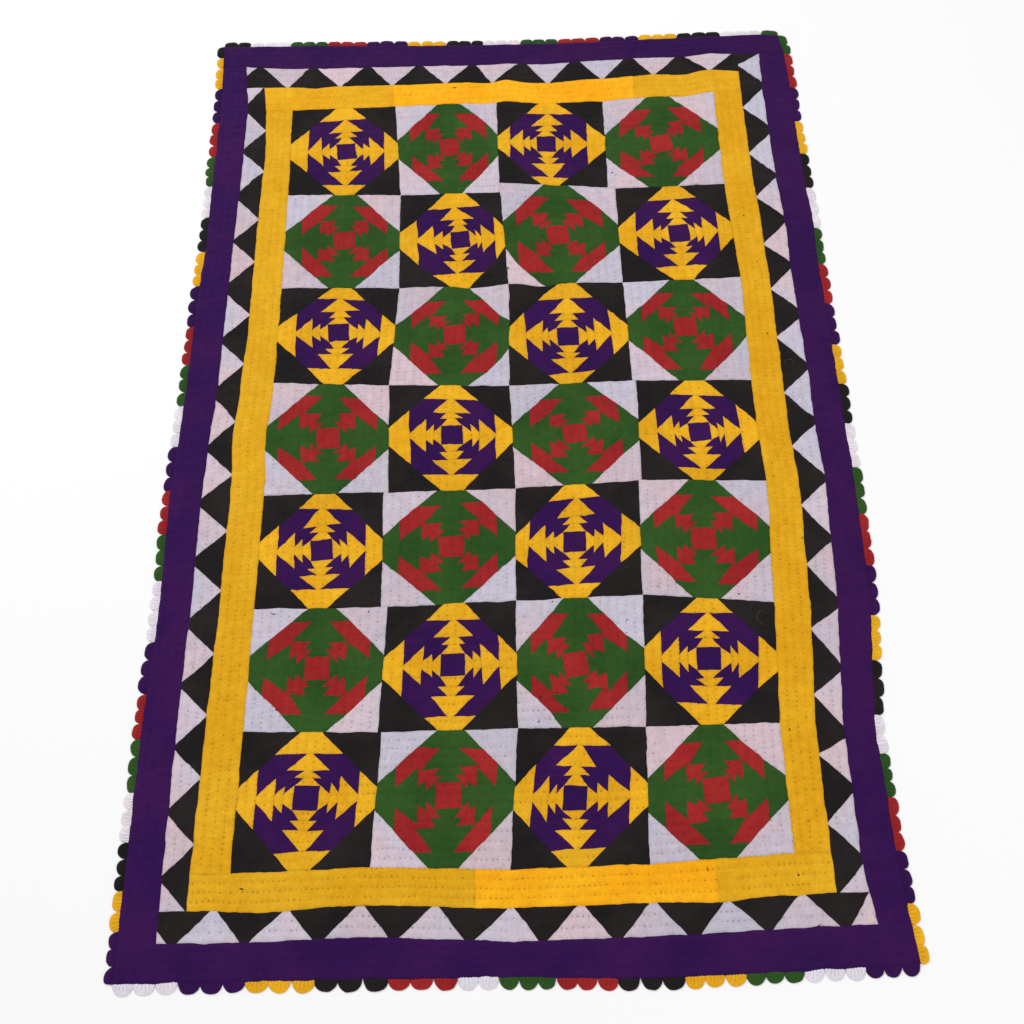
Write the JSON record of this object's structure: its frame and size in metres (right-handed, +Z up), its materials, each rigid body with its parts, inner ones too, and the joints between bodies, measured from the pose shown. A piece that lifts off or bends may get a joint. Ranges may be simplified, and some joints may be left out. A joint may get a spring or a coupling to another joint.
{
  "type": "ralli quilt",
  "caption": "Flat patchwork quilt of pineapple log-cabin blocks with plain and sawtooth frames and a scalloped cloth edging, quilted in rows parallel to its sides.",
  "frame": {"origin": "centre of the flat underside's bounding box, on the surface that the quilt lies on", "axes": "+Z up through the cloth, +Y along the length towards the far end in the picture, +X across the width to the right"},
  "size_m": [1.3416, 2.0854, 0.005],
  "materials": {
    "dark_block": "matt plain-woven cotton patchwork in black, purple and golden yellow, hand quilted",
    "light_block": "matt plain-woven cotton patchwork in white, red and green, hand quilted",
    "yellow": "matt plain-woven golden yellow cotton, hand quilted",
    "triangle": "matt plain-woven cotton in black and white triangles, hand quilted",
    "purple": "matt plain-woven purple cotton, hand quilted",
    "edging": "small gathered cotton petals in groups of one colour"
  },
  "bodies": {
    "root": {"block_1_1": "dark_block", "block_1_2": "light_block", "block_1_3": "dark_block", "block_1_4": "light_block", "block_2_1": "light_block", "block_2_2": "dark_block", "block_2_3": "light_block", "block_2_4": "dark_block", "block_3_1": "dark_block", "block_3_2": "light_block", "block_3_3": "dark_block", "block_3_4": "light_block", "block_4_1": "light_block", "block_4_2": "dark_block", "block_4_3": "light_block", "block_4_4": "dark_block", "block_5_1": "dark_block", "block_5_2": "light_block", "block_5_3": "dark_block", "block_5_4": "light_block", "block_6_1": "light_block", "block_6_2": "dark_block", "block_6_3": "light_block", "block_6_4": "dark_block", "block_7_1": "dark_block", "block_7_2": "light_block", "block_7_3": "dark_block", "block_7_4": "light_block", "yellow_left": "yellow", "triangle_left": "triangle", "purple_left": "purple", "edging_left": "edging", "yellow_right": "yellow", "triangle_right": "triangle", "purple_right": "purple", "edging_right": "edging", "yellow_far": "yellow", "triangle_far": "triangle", "purple_far": "purple", "edging_far": "edging", "yellow_near": "yellow", "triangle_near": "triangle", "purple_near": "purple", "edging_near": "edging"}
  },
  "joints": []
}
